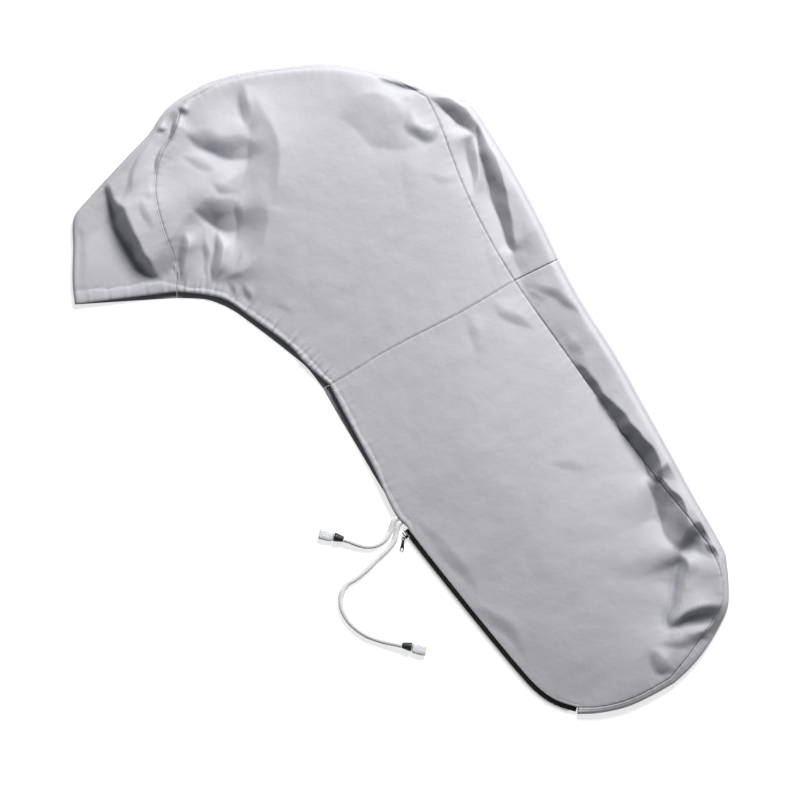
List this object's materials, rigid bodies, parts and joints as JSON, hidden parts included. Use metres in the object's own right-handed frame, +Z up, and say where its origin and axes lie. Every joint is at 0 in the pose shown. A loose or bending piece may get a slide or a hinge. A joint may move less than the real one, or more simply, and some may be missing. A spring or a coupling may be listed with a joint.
{
  "type": "outboard motor cover",
  "caption": "Full-length fitted cover for an outboard motor, in coated woven cloth with a zip and a drawcord hem, lying flat on its side.",
  "frame": {"origin": "on the surface the cover lies on, under the middle of the bounding box of its cloth and zip", "axes": "+Z up from the surface, +Y towards the crown of the head, +X from the nose of the head towards the foot of the leg"},
  "size_m": [1.1809, 1.17, 0.0684],
  "materials": {
    "cloth": "satin",
    "zip": "matte",
    "cord": "matte",
    "stopper": "satin",
    "cord_end": "satin"
  },
  "bodies": {
    "root": {"head_panel_upper": "cloth", "head_panel_lower": "cloth", "head_gusset": "cloth", "leg_panel_upper": "cloth", "leg_panel_lower": "cloth", "leg_gusset": "cloth", "zip_tape_upper": "zip", "zip_tape_lower": "zip", "zip_chain": "zip", "zip_slider": "zip", "zip_pull": "zip", "drawcord_short": "cord", "drawcord_long": "cord", "stopper_short": "stopper", "stopper_long": "stopper", "end_short": "cord_end", "end_long": "cord_end"}
  },
  "joints": []
}
